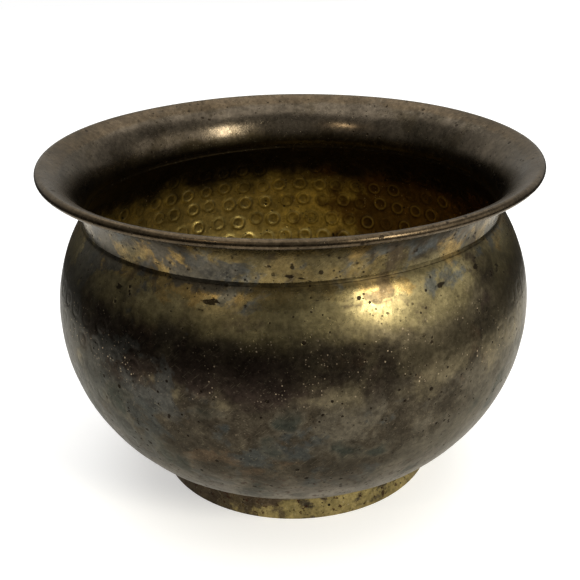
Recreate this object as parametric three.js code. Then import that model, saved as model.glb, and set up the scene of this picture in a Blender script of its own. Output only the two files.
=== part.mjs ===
// A hammered brass planter pot, built from the pieces a metalworker makes it of: a raised bowl, a
// flared neck collar rolled over a wire at its edge, a foot ring bent from strip, and the two rings
// of braze that join them. Millimetres, +Z up; the origin is the middle of the foot, on the floor.

import * as THREE from 'three';

// Bowl. Its outline is three arcs: the shoulder above the widest line, the belly below it, and the
// underside, which turns in more tightly towards a flat bottom.
const BELLY_DIAMETER = 246.6;
const SHOULDER_ARC = 87.9;
const SHOULDER_RISE = 50.2;
const BELLY_ARC = 92.7;
const BELLY_DROP = 65;
const UNDERSIDE_ARC = 55;
const BOWL_SHEET = 1;

// Neck collar: it stands on the bowl's mouth, then flares out and up to the rolled edge.
const NECK_SETBACK = 0.6;
const LIP_RISE = 26.8;
const LIP_FLARE = 18;
const LIP_EDGE_TURN = THREE.MathUtils.degToRad(70);
const COLLAR_SHEET = 1;

// Rolled edge: the collar's sheet is curled round a wire, and its end stops short of the lip.
const BEAD_DIAMETER = 4.6;
const WIRE_CLEARANCE = 0.3;
const CURL_TURN = THREE.MathUtils.degToRad(278);

// Foot ring: a strip that leans out a little towards the floor.
const FOOT_DIAMETER = 151;
const FOOT_HEIGHT = 14.4;
const FOOT_STRIP = 1.5;
const FOOT_LEAN = 1.5;

// Braze, and the gap kept between pieces that meet.
const NECK_BRAZE_HEIGHT = 1;
const NECK_BRAZE_CROWN = 0.35;
const FOOT_BRAZE_LEG = 2.2;
const JOINT_GAP = 0.3;

// How finely the round shapes are cut.
const TURN_SEGMENTS = 64;
const SHOULDER_STEPS = 4;
const BELLY_STEPS = 5;
const UNDERSIDE_STEPS = 4;
const LIP_STEPS = 6;
const CURL_STEPS = 11;
const WIRE_STEPS = 8;

const QUARTER_TURN = Math.PI / 2;

/** A circle in the turning plane: x is the distance from the pot's axis, y the height. */
function arcCircle(x, y, radius) {
  return { centre: new THREE.Vector2(x, y), radius };
}

/** The point of a circle that lies at an angle, counted from straight outwards towards up. */
function pointOn(circle, angle, offset = 0) {
  const reach = circle.radius + offset;
  const { centre } = circle;
  return new THREE.Vector2(centre.x + reach * Math.cos(angle), centre.y + reach * Math.sin(angle));
}

/** Points along a circle between two angles, both ends included. */
function arcPoints(circle, start, end, steps, offset = 0) {
  const points = [];
  for (let i = 0; i <= steps; i += 1) {
    points.push(pointOn(circle, start + ((end - start) * i) / steps, offset));
  }
  return points;
}

/** The bowl's three outline circles and the angles where they meet, with the belly at height 0. */
function bowlOutline() {
  const bellyRadius = BELLY_DIAMETER / 2;
  const shoulder = arcCircle(bellyRadius - SHOULDER_ARC, 0, SHOULDER_ARC);
  const belly = arcCircle(bellyRadius - BELLY_ARC, 0, BELLY_ARC);
  const turnAngle = -Math.asin(BELLY_DROP / BELLY_ARC);
  const inward = pointOn(belly, turnAngle, -UNDERSIDE_ARC);
  const underside = arcCircle(inward.x, inward.y, UNDERSIDE_ARC);
  return { shoulder, belly, underside, turnAngle };
}

const OUTLINE = bowlOutline();

/** Height of the bowl's outside at a radius near the foot, with the belly at height 0. */
function undersideHeight(radius) {
  const { belly, underside, turnAngle } = OUTLINE;
  const turnRadius = pointOn(belly, turnAngle).x;
  const circle = radius > turnRadius ? belly : underside;
  const across = Math.max(0, radius - circle.centre.x);
  return circle.centre.y - Math.sqrt(circle.radius ** 2 - across ** 2);
}

const FOOT_TOP_OUTER_RADIUS = FOOT_DIAMETER / 2 - FOOT_LEAN;
const FOOT_TOP_INNER_RADIUS = FOOT_TOP_OUTER_RADIUS - FOOT_STRIP;
const BELLY_HEIGHT = FOOT_HEIGHT + JOINT_GAP - undersideHeight(FOOT_TOP_INNER_RADIUS);
const MOUTH_HEIGHT = BELLY_HEIGHT + SHOULDER_RISE;
const MOUTH_RADIUS = OUTLINE.shoulder.centre.x + Math.sqrt(SHOULDER_ARC ** 2 - SHOULDER_RISE ** 2);
const COLLAR_BASE_HEIGHT = MOUTH_HEIGHT + 2 * JOINT_GAP + NECK_BRAZE_HEIGHT;
const COLLAR_BASE_RADIUS = MOUTH_RADIUS - NECK_SETBACK;

/** Turns a closed outline round the pot's axis. An outline runs up its outer side. */
function turned(outline) {
  const closed = [...outline, outline[0].clone()];
  const geometry = new THREE.LatheGeometry(closed, TURN_SEGMENTS);
  geometry.rotateX(QUARTER_TURN);
  return geometry;
}

/** Raised bowl of one sheet, open at the mouth, with a flat bottom inside the foot. */
function bowlShell() {
  const { shoulder, belly, underside, turnAngle } = OUTLINE;
  const side = (inset) => {
    const mouthAngle = Math.asin(SHOULDER_RISE / (SHOULDER_ARC - inset));
    const bottom = pointOn(underside, -QUARTER_TURN, -inset);
    const points = [
      new THREE.Vector2(0, bottom.y),
      ...arcPoints(underside, -QUARTER_TURN, turnAngle, UNDERSIDE_STEPS, -inset),
      ...arcPoints(belly, turnAngle, 0, BELLY_STEPS, -inset).slice(1),
      ...arcPoints(shoulder, 0, mouthAngle, SHOULDER_STEPS, -inset).slice(1),
    ];
    return points.map((point) => point.setY(point.y + BELLY_HEIGHT));
  };
  const profile = [...side(0), ...side(BOWL_SHEET).reverse()];
  const geometry = new THREE.LatheGeometry(profile, TURN_SEGMENTS);
  geometry.rotateX(QUARTER_TURN);
  return geometry;
}

/** The lip's upper face at a turn of 0 at the base, with its outward and downward normal. */
function lipFace(turn) {
  const across = LIP_FLARE / (1 - Math.cos(LIP_EDGE_TURN));
  const up = LIP_RISE / Math.sin(LIP_EDGE_TURN);
  const innerRadius = COLLAR_BASE_RADIUS - COLLAR_SHEET;
  const x = innerRadius + across * (1 - Math.cos(turn));
  const y = COLLAR_BASE_HEIGHT + up * Math.sin(turn);
  const point = new THREE.Vector2(x, y);
  const normal = new THREE.Vector2(up * Math.cos(turn), -across * Math.sin(turn)).normalize();
  return { point, normal };
}

/** The circle that the rolled edge and its wire share, and the angle where the roll starts. */
function beadCircle() {
  const { point, normal } = lipFace(LIP_EDGE_TURN);
  const centre = point.addScaledVector(normal, BEAD_DIAMETER / 2);
  const startAngle = Math.atan2(-normal.y, -normal.x);
  return { circle: arcCircle(centre.x, centre.y, BEAD_DIAMETER / 2), startAngle };
}

/** Neck collar: an upright base, a flared lip and the roll at its edge, all one sheet. */
function neckCollar() {
  const { circle, startAngle } = beadCircle();
  const endAngle = startAngle - CURL_TURN;
  const under = [];
  const upper = [];
  for (let i = 0; i <= LIP_STEPS; i += 1) {
    const { point, normal } = lipFace((LIP_EDGE_TURN * i) / LIP_STEPS);
    upper.push(point);
    under.push(point.clone().addScaledVector(normal, COLLAR_SHEET));
  }
  const rollInside = arcPoints(circle, startAngle, endAngle, CURL_STEPS, -COLLAR_SHEET).slice(1);
  const rollOutside = arcPoints(circle, endAngle, startAngle, CURL_STEPS).slice(0, -1);
  return turned([...under, ...rollInside, ...rollOutside, ...upper.reverse()]);
}

/** Round wire that the collar's edge is rolled over. */
function rimWire() {
  const { circle } = beadCircle();
  const inset = COLLAR_SHEET + WIRE_CLEARANCE;
  return turned(arcPoints(circle, 0, 2 * Math.PI, WIRE_STEPS, -inset).slice(1));
}

/** Braze between the bowl's mouth and the collar, standing slightly proud of both. */
function neckBrazeSeam() {
  const low = MOUTH_HEIGHT + JOINT_GAP;
  const high = low + NECK_BRAZE_HEIGHT;
  const middle = (low + high) / 2;
  const inner = COLLAR_BASE_RADIUS - COLLAR_SHEET;
  return turned([
    new THREE.Vector2(inner, low),
    new THREE.Vector2(MOUTH_RADIUS, low),
    new THREE.Vector2(COLLAR_BASE_RADIUS + NECK_BRAZE_CROWN, middle),
    new THREE.Vector2(COLLAR_BASE_RADIUS, high),
    new THREE.Vector2(inner, high),
  ]);
}

/** Foot ring bent from strip, its top edge bevelled to the bowl's underside. */
function footRing() {
  const floorRadius = FOOT_DIAMETER / 2;
  const topRise = undersideHeight(FOOT_TOP_OUTER_RADIUS) - undersideHeight(FOOT_TOP_INNER_RADIUS);
  return turned([
    new THREE.Vector2(floorRadius, 0),
    new THREE.Vector2(FOOT_TOP_OUTER_RADIUS, FOOT_HEIGHT + topRise),
    new THREE.Vector2(FOOT_TOP_INNER_RADIUS, FOOT_HEIGHT),
    new THREE.Vector2(floorRadius - FOOT_STRIP, 0),
  ]);
}

/** Fillet of braze in the corner between the foot ring's outside and the bowl. */
function footBrazeSeam() {
  const bowlHeight = (radius) => BELLY_HEIGHT + undersideHeight(radius) - JOINT_GAP;
  const cornerRadius = FOOT_TOP_OUTER_RADIUS + JOINT_GAP;
  const cornerHeight = bowlHeight(cornerRadius);
  const toeLean = (FOOT_LEAN * FOOT_BRAZE_LEG) / FOOT_HEIGHT;
  const outerRadius = cornerRadius + FOOT_BRAZE_LEG;
  return turned([
    new THREE.Vector2(cornerRadius + toeLean, cornerHeight - FOOT_BRAZE_LEG),
    new THREE.Vector2(outerRadius, bowlHeight(outerRadius)),
    new THREE.Vector2(cornerRadius, cornerHeight),
  ]);
}

/** Worn brass of a given colour and roughness. */
function brass(color, roughness) {
  return new THREE.MeshStandardMaterial({ color, roughness, metalness: 1 });
}

const pot = new THREE.Group();
const HAMMERED_BRASS = brass(0x8c7c58, 0.42);
const LIP_BRASS = brass(0x85735c, 0.35);
const FOOT_BRASS = brass(0x9a8650, 0.45);
const WIRE_BRASS = brass(0xa28a56, 0.5);
const BRAZE = brass(0x9c8c62, 0.55);

/** Puts one named piece on the pot. */
function addPiece(name, geometry, material) {
  const mesh = new THREE.Mesh(geometry, material);
  mesh.name = name;
  pot.add(mesh);
}

addPiece('bowl_shell', bowlShell(), HAMMERED_BRASS);
addPiece('neck_collar', neckCollar(), LIP_BRASS);
addPiece('rim_wire', rimWire(), WIRE_BRASS);
addPiece('neck_braze_seam', neckBrazeSeam(), BRAZE);
addPiece('foot_ring', footRing(), FOOT_BRASS);
addPiece('foot_braze_seam', footBrazeSeam(), BRAZE);

export default pot;
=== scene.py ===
"""A hammered brass planter pot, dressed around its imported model.

The bowl is raised from one sheet and punched with rows of small rings, the neck collar is rolled
over a wire at its edge, and the foot is a ring bent from strip. Everything here is in metres.
"""

import logging
import math
from dataclasses import dataclass, field
from enum import Enum

import bpy
import numpy as np
from mathutils import Matrix, Vector


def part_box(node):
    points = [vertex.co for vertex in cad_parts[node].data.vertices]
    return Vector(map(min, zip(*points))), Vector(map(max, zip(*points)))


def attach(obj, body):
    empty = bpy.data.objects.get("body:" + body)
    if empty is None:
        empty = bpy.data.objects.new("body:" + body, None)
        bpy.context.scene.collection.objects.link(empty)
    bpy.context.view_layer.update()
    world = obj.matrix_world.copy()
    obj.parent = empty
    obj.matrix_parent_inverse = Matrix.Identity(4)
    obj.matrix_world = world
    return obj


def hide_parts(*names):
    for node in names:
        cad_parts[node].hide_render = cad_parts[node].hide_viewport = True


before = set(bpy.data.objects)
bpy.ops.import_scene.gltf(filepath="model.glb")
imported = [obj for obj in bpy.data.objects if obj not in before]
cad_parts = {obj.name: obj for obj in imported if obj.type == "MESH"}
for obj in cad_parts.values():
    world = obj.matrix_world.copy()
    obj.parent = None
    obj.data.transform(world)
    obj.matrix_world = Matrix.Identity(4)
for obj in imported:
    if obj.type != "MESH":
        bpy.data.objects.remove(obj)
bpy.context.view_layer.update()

log = logging.getLogger("planter")

MM = 0.001
BODY = "root"
FULL_TURN = 2 * math.pi
QUARTER_TURN = math.pi / 2


# --- Turned metal: outlines, hand-made unevenness and meshes


@dataclass(frozen=True)
class Arc:
    """A circle in the turning plane: its centre's distance from the axis, its height, its radius."""

    r: float
    z: float
    radius: float

    def points(self, start: float, end: float, spacing: float, inset: float = 0.0) -> np.ndarray:
        """Points along the arc, with the outward normal at each.

        Args:
            start: Angle of the first point, from straight outwards towards up.
            end: Angle of the last point.
            spacing: Distance between points, about.
            inset: How far inside the arc the points lie.

        Returns:
            One row for each point: radius, height, normal's radius and normal's height.
        """
        count = max(2, round(abs(end - start) * self.radius / spacing))
        angle = np.linspace(start, end, count + 1)
        reach = self.radius - inset
        across, up = np.cos(angle), np.sin(angle)
        return np.stack([self.r + reach * across, self.z + reach * up, across, up], 1)


@dataclass(frozen=True)
class HandWork:
    """Slow unevenness left by hand work: a few waves round the pot, the same on every run."""

    depth: float
    seed: int
    waves: int = 5
    first: int = 2
    rise: float = 55.0

    def offset(self, theta: np.ndarray, height: np.ndarray) -> np.ndarray:
        """How far the surface stands off its true shape.

        Args:
            theta: Angles round the axis.
            height: Heights, of a shape that fits theta's.

        Returns:
            Offsets in metres, positive outwards.
        """
        rng = np.random.default_rng(self.seed)
        total = np.zeros(np.broadcast(theta, height).shape)
        for wave in range(self.waves):
            phase, tilt, size = rng.uniform(0, FULL_TURN), rng.uniform(-1, 1), rng.uniform(0.5, 1)
            turns = self.first + wave * 2
            total += size / (1 + wave) * np.sin(turns * theta + phase + tilt * self.rise * height)
        return self.depth * total / 2


@dataclass(frozen=True)
class RingPunch:
    """Rows of small rings struck into the outside of the bowl.

    Each mark is a round groove with a slightly sunk middle. It stands out sharply inside the bowl,
    and is worn faint outside.
    """

    ring_radius: float = 3.5 * MM
    groove_width: float = 1.55 * MM
    row_pitch: float = 12.4 * MM
    round_pitch: float = 10.9 * MM
    stray: float = 1.1 * MM
    shift_share: float = 0.5
    drift_share: float = 0.6
    reach_share: float = 2.4
    middle: float = 0.25
    groove_share: float = 0.62
    edge_share: float = 0.3
    lightest: float = 0.4
    size_change: float = 0.07
    row_change: float = 0.06
    row_beat: float = 2.3
    seed: int = 11

    def strength(self, theta: np.ndarray, along: np.ndarray, radius: np.ndarray) -> np.ndarray:
        """How deep each point lies in a mark, from 0 on plain metal to 1 in a groove.

        Args:
            theta: Angles round the axis, one for each column.
            along: Distance of each row down the bowl's side from the first row of marks.
            radius: Each row's distance from the axis.

        Returns:
            One value for each row and column.
        """
        rng = np.random.default_rng(self.seed)
        found = np.zeros((len(along), len(theta)))
        last = along.max()
        row, place = 0, 0.0
        while place < last:
            near = np.abs(along - place) < self.reach_share * self.ring_radius + self.stray
            count = int(FULL_TURN * np.interp(place, along, radius) / self.round_pitch)
            start = rng.uniform(0, FULL_TURN)
            shift = rng.normal(0, self.stray * self.shift_share, count).clip(-self.stray, self.stray)
            drift = rng.normal(0, self.stray * self.drift_share, count).clip(-self.stray, self.stray)
            weight = rng.uniform(self.lightest, 1.0, count)
            size = rng.uniform(1 - self.size_change, 1 + self.size_change, count)
            turn = np.mod(theta - start, FULL_TURN) / FULL_TURN * count
            nearest = np.mod(np.round(turn).astype(int), count)
            off = np.mod(turn - nearest + count / 2, count) - count / 2
            across = off[None, :] * (FULL_TURN / count) * radius[near][:, None]
            across = across - drift[nearest][None, :]
            down = along[near][:, None] - place - shift[nearest][None, :]
            distance = np.hypot(across, down) / size[nearest][None, :]
            past = (distance - self.ring_radius) / self.groove_width
            groove = np.exp(-(past / self.groove_share) ** 2)
            inside = self.middle / (1 + np.exp(past / self.edge_share))
            mark = np.maximum(groove, inside) * weight[nearest][None, :]
            found[near] = np.maximum(found[near], mark)
            row += 1
            place += self.row_pitch * (1 + self.row_change * math.sin(self.row_beat * row))
        return found


@dataclass(frozen=True)
class NeckCrease:
    """The soft fold where the neck meets the shoulder, deepest in front, wandering up and down.

    Away from its deepest side it's filled to a soft curve.
    The bowl, the braze and the collar all follow it, so that they stay in line, and carry its painted
    shade and dirt, darkest where it's deepest.
    """

    depth: float = 0.55 * MM
    fillet: float = 0.75 * MM
    width: float = 2.4 * MM
    grime_width: float = 0.9 * MM
    reach: float = 11 * MM
    fade: float = 0.70
    deepest: float = -1.3
    wander: HandWork = HandWork(depth=1.1 * MM, seed=61, waves=3, first=1, rise=0.0)

    def share(self, theta: np.ndarray) -> np.ndarray:
        """How deep the fold is at each angle, as a share of its full depth."""
        return (1 - self.fade + self.fade * np.cos(theta - self.deepest)).clip(0, 1)

    def shift(self, theta: np.ndarray, z: np.ndarray, middle: float) -> tuple[np.ndarray, np.ndarray]:
        """How far the fold moves the metal.

        Args:
            theta: Angles round the axis, in one row.
            z: Heights, in one column.
            middle: Height of the fold's middle.

        Returns:
            Change of distance from the axis, and change of height.
        """
        share = self.share(theta)
        fill = self.fillet * (1 - share) - self.depth * share
        drift = self.wander.offset(theta, np.zeros((1, 1)))
        away = z - middle
        return fill * np.exp(-(away / self.width) ** 2), drift * np.exp(-(away / self.reach) ** 2)

    def grime(self, theta: np.ndarray, z: np.ndarray, middle: float) -> np.ndarray:
        """How dark the fold is painted, from 0 to 1: dirt, and painted shade that is strongest where
        the fold is deepest.

        Args:
            theta: Angles round the axis, in one row.
            z: Heights, in one column.
            middle: Height of the fold's middle.

        Returns:
            One value for each height and angle.
        """
        # Painted shade and dirt in the fold, following its depth round the pot.
        return self.share(theta) * np.exp(-((z - middle) / self.grime_width) ** 2)


CREASE = NeckCrease()


class Ends(Enum):
    """How a turned mesh's rows end."""

    LOOPED = "the last row joins the first"
    POLES = "the first and last row close to a point on the axis"


@dataclass
class TurnedMesh:
    """A mesh of rows turned round the axis, each row a full circle of the same number of points."""

    name: str
    columns: int
    ends: Ends
    radius: list[np.ndarray] = field(default_factory=list)
    height: list[np.ndarray] = field(default_factory=list)
    values: dict[str, list[np.ndarray]] = field(default_factory=dict)

    @property
    def theta(self) -> np.ndarray:
        """The angle of each column."""
        return np.linspace(0, FULL_TURN, self.columns, endpoint=False)

    def add(self, radius: np.ndarray, height: np.ndarray, **values: np.ndarray) -> None:
        """Adds rows.

        Args:
            radius: Distance from the axis, one row for each circle.
            height: Heights, the same shape or one value for each row.
            **values: Named values kept on the mesh's points, the same shape.
        """
        shape = (len(radius), self.columns)
        self.radius.append(np.broadcast_to(radius, shape))
        self.height.append(np.broadcast_to(height, shape))
        for key, value in values.items():
            self.values.setdefault(key, []).append(np.broadcast_to(value, shape))

    def build(self) -> bpy.types.Object:
        """Makes the Blender object.

        Returns:
            The object, closed, smooth and with its faces pointing out.
        """
        radius, height = np.concatenate(self.radius), np.concatenate(self.height)
        theta = self.theta[None, :]
        points = np.stack([radius * np.cos(theta), radius * np.sin(theta), height], -1).reshape(-1, 3)
        rows = len(radius)
        index = np.arange(rows * self.columns).reshape(rows, self.columns)
        following = np.roll(index, -1, axis=1)
        if self.ends is Ends.LOOPED:
            low, low_next = index, following
            high, high_next = np.roll(index, -1, axis=0), np.roll(following, -1, axis=0)
        else:
            low, low_next, high, high_next = index[:-1], following[:-1], index[1:], following[1:]
        quads = np.stack([low, low_next, high_next, high], -1).reshape(-1, 4)
        triangles = np.zeros((0, 3), int)
        if self.ends is Ends.POLES:
            first, last = len(points), len(points) + 1
            poles = np.array([[0, 0, height[0].mean()], [0, 0, height[-1].mean()]])
            points = np.concatenate([points, poles])
            start = np.stack([following[0], index[0], np.full(self.columns, first)], -1)
            end = np.stack([index[-1], following[-1], np.full(self.columns, last)], -1)
            triangles = np.concatenate([start, end])
        mesh = self._mesh(points, quads, triangles)
        for key, value in self.values.items():
            flat = np.concatenate(value).ravel()
            flat = np.concatenate([flat, np.zeros(len(points) - len(flat))])
            kept = mesh.attributes.new(key, "FLOAT", "POINT")
            kept.data.foreach_set("value", flat.astype(np.float32))
        piece = bpy.data.objects.new(self.name, mesh)
        bpy.context.scene.collection.objects.link(piece)
        return piece

    def _mesh(self, points: np.ndarray, quads: np.ndarray, triangles: np.ndarray) -> bpy.types.Mesh:
        """Fills a Blender mesh.

        Args:
            points: The points, one in each row.
            quads: Four point numbers for each four-sided face.
            triangles: Three point numbers for each three-sided face.

        Returns:
            The mesh, shaded smooth.
        """
        mesh = bpy.data.meshes.new(self.name)
        mesh.vertices.add(len(points))
        mesh.vertices.foreach_set("co", points.astype(np.float32).ravel())
        corners = np.concatenate([quads.ravel(), triangles.ravel()])
        sides = np.concatenate([np.full(len(quads), 4), np.full(len(triangles), 3)])
        starts = np.concatenate([[0], np.cumsum(sides)[:-1]])
        mesh.loops.add(len(corners))
        mesh.loops.foreach_set("vertex_index", corners.astype(np.int32))
        mesh.polygons.add(len(sides))
        mesh.polygons.foreach_set("loop_start", starts.astype(np.int32))
        mesh.polygons.foreach_set("loop_total", sides.astype(np.int32))
        mesh.polygons.foreach_set("use_smooth", np.ones(len(sides), bool))
        mesh.update(calc_edges=True)
        mesh.validate()
        return mesh


# --- Finishes

Colour = tuple[float, float, float]


class Bench:
    """A place to lay out a material's nodes."""

    def __init__(self, name: str) -> None:
        """Starts an empty material with a Principled shader.

        Args:
            name: The material's name.
        """
        self.material = bpy.data.materials.new(name)
        self.material.use_nodes = True
        self.tree = self.material.node_tree
        self.tree.nodes.clear()
        self.shader = self.tree.nodes.new("ShaderNodeBsdfPrincipled")
        output = self.tree.nodes.new("ShaderNodeOutputMaterial")
        self.tree.links.new(self.shader.outputs[0], output.inputs["Surface"])
        self.place = self.tree.nodes.new("ShaderNodeTexCoord").outputs["Object"]

    def node(self, kind: str, **settings: object) -> bpy.types.Node:
        """Adds a node and sets its properties.

        Args:
            kind: The node's type.
            **settings: Properties of the node, by name.

        Returns:
            The node.
        """
        made = self.tree.nodes.new(kind)
        for key, value in settings.items():
            setattr(made, key, value)
        return made

    def feed(self, socket: bpy.types.NodeSocket, value: object) -> None:
        """Links a socket to another one, or sets it to a plain value.

        Args:
            socket: The input to feed.
            value: An output socket, or a number or colour.
        """
        if isinstance(value, bpy.types.NodeSocket):
            self.tree.links.new(value, socket)
        elif isinstance(value, tuple) and len(value) == 3 and socket.type == "RGBA":
            socket.default_value = (*value, 1.0)
        else:
            socket.default_value = value

    def moved(self, stretch: Colour = (1, 1, 1), turn: Colour = (0, 0, 0),
              shift: Colour = (0, 0, 0)) -> bpy.types.NodeSocket:
        """Object space shifted, turned and then stretched.

        Args:
            stretch: Scale along each turned axis; a small one draws a pattern out along that axis.
            turn: Rotation about each axis.
            shift: Offset, which picks another part of the same pattern.

        Returns:
            The coordinate socket.
        """
        mapping = self.node("ShaderNodeMapping", vector_type="TEXTURE")
        self.feed(mapping.inputs["Vector"], self.place)
        mapping.inputs["Scale"].default_value = tuple(1 / share for share in stretch)
        mapping.inputs["Rotation"].default_value = turn
        mapping.inputs["Location"].default_value = shift
        return mapping.outputs["Vector"]

    def noise(self, size: float, detail: float = 4.0, rough: float = 0.55, warp: float = 0.0,
              place: bpy.types.NodeSocket | None = None) -> bpy.types.NodeSocket:
        """Cloudy noise from about 0 to 1.

        Args:
            size: Size of its patches in metres.
            detail: Number of finer layers.
            rough: Strength of the finer layers.
            warp: How much the patches are pulled about.
            place: Coordinates, or plain object space.

        Returns:
            The value socket.
        """
        made = self.node("ShaderNodeTexNoise")
        self.feed(made.inputs["Vector"], place or self.place)
        made.inputs["Scale"].default_value = 1 / size
        made.inputs["Detail"].default_value = detail
        made.inputs["Roughness"].default_value = rough
        made.inputs["Distortion"].default_value = warp
        return made.outputs["Fac"]

    def spots(self, cell: float, share: float, edge: float,
              place: bpy.types.NodeSocket | None = None) -> bpy.types.NodeSocket:
        """Scattered round spots, 1 in a spot and 0 outside, of many sizes.

        Args:
            cell: Distance between spots in metres.
            share: A spot's largest radius as a share of the cell.
            edge: Softness of a spot's edge, as a share of the cell.
            place: Coordinates, or plain object space.

        Returns:
            The value socket.
        """
        made = self.node("ShaderNodeTexVoronoi")
        self.feed(made.inputs["Vector"], place or self.place)
        made.inputs["Scale"].default_value = 1 / cell
        chance = self.node("ShaderNodeSeparateColor")
        self.feed(chance.inputs[0], made.outputs["Color"])
        size = self.math("MULTIPLY", self.math("POWER", chance.outputs[0], 3.0), share)
        gap = self.math("SUBTRACT", size, made.outputs["Distance"])
        return self.span(gap, 0.0, edge)

    def math(self, operation: str, a: object, b: object = 0.0) -> bpy.types.NodeSocket:
        """One step of arithmetic.

        Args:
            operation: What is done.
            a: The first value.
            b: The second value.

        Returns:
            The result's socket.
        """
        made = self.node("ShaderNodeMath", operation=operation)
        self.feed(made.inputs[0], a)
        self.feed(made.inputs[1], b)
        return made.outputs[0]

    def span(self, value: object, low: float, high: float, to_low: float = 0.0,
             to_high: float = 1.0) -> bpy.types.NodeSocket:
        """Smoothly carries the span from low to high onto another span, held at its ends.

        Args:
            value: The value to carry over.
            low: Start of its span.
            high: End of its span.
            to_low: What the start becomes.
            to_high: What the end becomes.

        Returns:
            The result's socket.
        """
        made = self.node("ShaderNodeMapRange", interpolation_type="SMOOTHSTEP")
        for socket, number in zip(made.inputs[:5], (value, low, high, to_low, to_high)):
            self.feed(socket, number)
        return made.outputs[0]

    def blend(self, mask: object, a: object, b: object, how: str = "MIX") -> bpy.types.NodeSocket:
        """Mixes two colours by a mask.

        Args:
            mask: 0 gives the first colour, 1 the second.
            a: First colour.
            b: Second colour.
            how: Blend type.

        Returns:
            The colour socket.
        """
        made = self.node("ShaderNodeMix", data_type="RGBA", blend_type=how)
        self.feed(made.inputs[0], mask)
        self.feed(made.inputs[6], a)
        self.feed(made.inputs[7], b)
        return made.outputs[2]

    def shade(self, value: bpy.types.NodeSocket) -> bpy.types.NodeSocket:
        """A grey of the given brightness.

        Args:
            value: The brightness.

        Returns:
            The colour socket.
        """
        made = self.node("ShaderNodeCombineColor")
        for socket in made.inputs[:3]:
            self.feed(socket, value)
        return made.outputs[0]

    def value(self, name: str) -> bpy.types.NodeSocket:
        """A value kept on the mesh's points."""
        return self.node("ShaderNodeAttribute", attribute_name=name).outputs["Fac"]

    def along(self, direction: Colour) -> bpy.types.NodeSocket:
        """Distance from the origin along a direction, times the direction's length.

        Args:
            direction: The direction.

        Returns:
            The value socket.
        """
        made = self.node("ShaderNodeVectorMath", operation="DOT_PRODUCT")
        self.feed(made.inputs[0], self.place)
        made.inputs[1].default_value = direction
        return made.outputs["Value"]

    def height(self) -> bpy.types.NodeSocket:
        """Height above the floor."""
        return self.along((0.0, 0.0, 1.0))

    def bump(self, heights: list[tuple[bpy.types.NodeSocket, float]]) -> None:
        """Presses height patterns into the surface, one after another.

        Args:
            heights: Each pattern, and the depth in metres that its value of 1 stands for.
        """
        normal = None
        for pattern, depth in heights:
            made = self.node("ShaderNodeBump", invert=depth < 0)
            made.inputs["Strength"].default_value = 1.0
            made.inputs["Distance"].default_value = abs(depth)
            self.feed(made.inputs["Height"], pattern)
            if normal is not None:
                self.feed(made.inputs["Normal"], normal)
            normal = made.outputs["Normal"]
        self.feed(self.shader.inputs["Normal"], normal)


class Face(Enum):
    """Which side of the sheet something is found on."""

    OUTSIDE = "outside"
    INSIDE = "inside"
    BOTH = "both"


@dataclass(frozen=True)
class Zone:
    """A band of heights with soft edges."""

    low: float
    high: float
    soft: float

    def mask(self, bench: Bench, height: bpy.types.NodeSocket) -> bpy.types.NodeSocket:
        """Where the band lies.

        Args:
            bench: The material's bench.
            height: Height above the floor.

        Returns:
            The mask: 1 in the band and 0 outside it.
        """
        above = bench.span(height, self.low - self.soft, self.low + self.soft)
        below = bench.span(height, self.high - self.soft, self.high + self.soft, 1.0, 0.0)
        return bench.math("MULTIPLY", above, below)


@dataclass(frozen=True)
class Stain:
    """One colour lying in ragged patches: tarnish and rubbed metal, and also painted shade and painted
    reflection.

    The patches are where a noise rises above start, and they're at full strength edge higher up.
    lean is a direction in which they spread: it's what the noise gains in each metre.
    """

    colour: Colour
    size: float
    start: float
    edge: float
    strength: float
    rough: float
    seed: float
    ragged: float = 0.62
    warp: float = 0.15
    stretch: Colour = (1.0, 1.0, 1.0)
    turn: Colour = (0.0, 0.0, 0.0)
    zone: Zone | None = None
    wander: float = 0.05
    face: Face = Face.BOTH
    lean: Colour = (0.0, 0.0, 0.0)

    def mask(self, bench: Bench) -> bpy.types.NodeSocket:
        """Where the stain lies.

        Args:
            bench: The material's bench.

        Returns:
            The mask, from 0 to the stain's strength.
        """
        shift = (self.seed, self.seed * 0.61, -self.seed * 0.37)
        place = bench.moved(self.stretch, self.turn, shift)
        noise = bench.noise(self.size, 7, self.ragged, self.warp, place)
        level = bench.math("ADD", noise, bench.along(self.lean)) if any(self.lean) else noise
        mask = bench.span(level, self.start, self.start + self.edge, 0.0, self.strength)
        if self.zone is not None:
            drift = bench.math("MULTIPLY", bench.math("SUBTRACT", noise, 0.5), self.wander)
            height = bench.math("ADD", bench.height(), drift)
            mask = bench.math("MULTIPLY", mask, self.zone.mask(bench, height))
        if self.face is not Face.BOTH:
            inside = bench.value("inside")
            share = inside if self.face is Face.INSIDE else bench.math("SUBTRACT", 1.0, inside)
            mask = bench.math("MULTIPLY", mask, share)
        return mask


# The middle of a noise's values, the darker and lighter shades of a stain, and the hairline
# scratches: the way each set runs, and how high the noise is where it starts.
MIDDLE = (0.35, 0.65)
STAIN_SHADES = (0.78, 1.22)
HAIRLINES = (((0.3, 0.75, 0.2), 0.67), ((-0.2, -1.15, -0.3), 0.69))


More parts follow.
